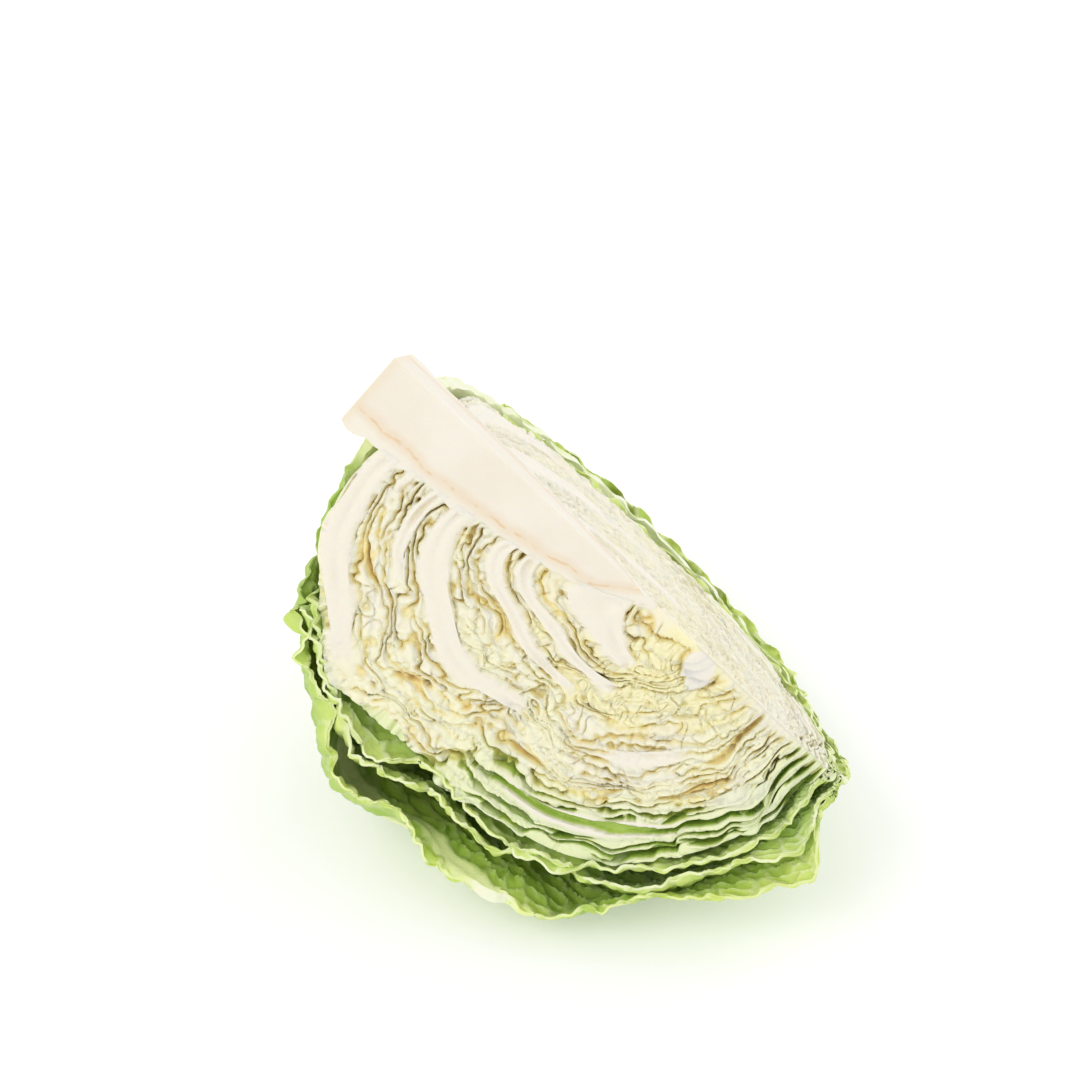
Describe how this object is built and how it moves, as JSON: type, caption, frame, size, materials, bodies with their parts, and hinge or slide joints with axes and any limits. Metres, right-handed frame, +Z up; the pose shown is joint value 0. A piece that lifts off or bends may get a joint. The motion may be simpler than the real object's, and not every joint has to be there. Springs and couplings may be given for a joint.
{
  "type": "savoy cabbage quarter",
  "caption": "Quarter wedge cut lengthwise from a savoy cabbage: a tapered core with nested crinkled leaves, lying on its rounded back with both cut faces up.",
  "frame": {"origin": "centre of the pressed-flat resting spot on the underside of the outermost wrapper leaf, on the surface the quarter lies on", "axes": "+Z up; the axis of the head runs from the cut stem end, up at -X +Y, down to the top of the head at +X -Y, 30 degrees below level and 31 degrees right of +X; the large cut face looks toward -Y and up"},
  "size_m": [0.1557, 0.1428, 0.136],
  "materials": {
    "core": "ivory cut stalk flesh, moist satin, with an orange-brown vascular line near its edge",
    "head_leaf": "pale cream-yellow blanched leaf with ivory ribs, moist satin, crinkled",
    "heart_leaf": "warm yellow young leaf, tightly crumpled",
    "wrapper_leaf": "yellow-green to mid-green blistered savoy leaf with paler veins, waxy satin"
  },
  "bodies": {
    "root": {"core": "core", "wrapper_leaf_1": "wrapper_leaf", "wrapper_leaf_2": "wrapper_leaf", "wrapper_leaf_3": "wrapper_leaf", "head_leaf_01": "head_leaf", "head_leaf_02": "head_leaf", "head_leaf_03": "head_leaf", "head_leaf_04": "head_leaf", "head_leaf_05": "head_leaf", "head_leaf_06": "head_leaf", "head_leaf_07": "head_leaf", "head_leaf_08": "head_leaf", "head_leaf_09": "head_leaf", "head_leaf_10": "head_leaf", "head_leaf_11": "head_leaf", "head_leaf_12": "head_leaf", "head_leaf_13": "head_leaf", "head_leaf_14": "head_leaf", "head_leaf_15": "head_leaf", "heart_leaf_1": "heart_leaf", "heart_leaf_2": "heart_leaf"}
  },
  "joints": []
}
